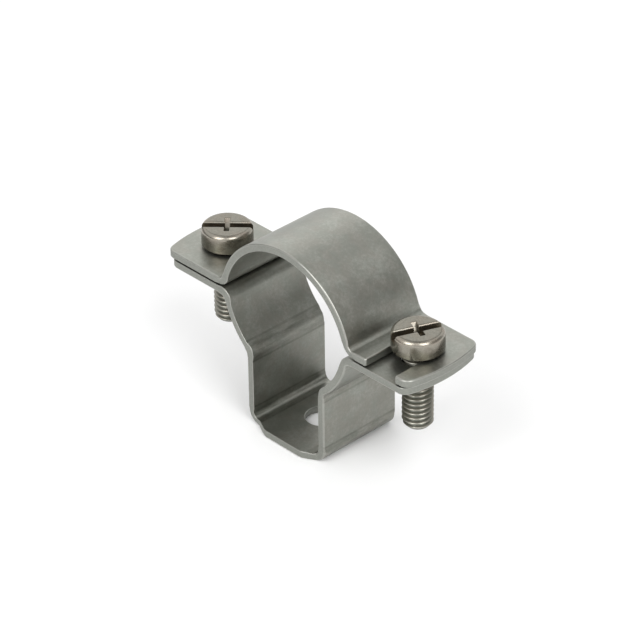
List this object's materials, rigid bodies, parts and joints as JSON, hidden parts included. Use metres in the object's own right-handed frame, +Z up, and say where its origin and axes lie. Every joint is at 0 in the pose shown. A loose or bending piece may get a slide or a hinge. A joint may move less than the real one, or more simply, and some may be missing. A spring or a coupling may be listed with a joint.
{
  "type": "lightning conductor holder",
  "caption": "Folded stainless steel holder that clamps a round insulated lightning conductor to a wall, with a strap that swings open on one screw.",
  "frame": {"origin": "centre of the base plate's underside, on the mounting face", "axes": "+Z up from the mounting face, +X towards the ear with the open slot, Y along the conductor with the slot's mouth at -Y"},
  "size_m": [0.0663, 0.0218, 0.0419],
  "materials": {
    "stainless_sheet": "satin rolled",
    "stainless_screw": "bright"
  },
  "bodies": {
    "bracket": {"base_bracket": "stainless_sheet"},
    "strap": {"clamp_strap": "stainless_sheet"},
    "front_screw": {"front_screw": "stainless_screw"},
    "rear_screw": {"rear_screw": "stainless_screw"}
  },
  "joints": [
    {"name": "strap_swing", "type": "hinge", "parent": "bracket", "child": "strap", "pos_m": [-0.02528, 0, 0.0285], "axis": [0, 0, 1], "range_deg": [0, 180]},
    {"name": "front_screw_turn", "type": "hinge", "parent": "bracket", "child": "front_screw", "pos_m": [0.02528, 0, 0.0289], "axis": [0, 0, 1], "continuous": true},
    {"name": "rear_screw_turn", "type": "hinge", "parent": "bracket", "child": "rear_screw", "pos_m": [-0.02528, 0, 0.0289], "axis": [0, 0, 1], "continuous": true}
  ]
}
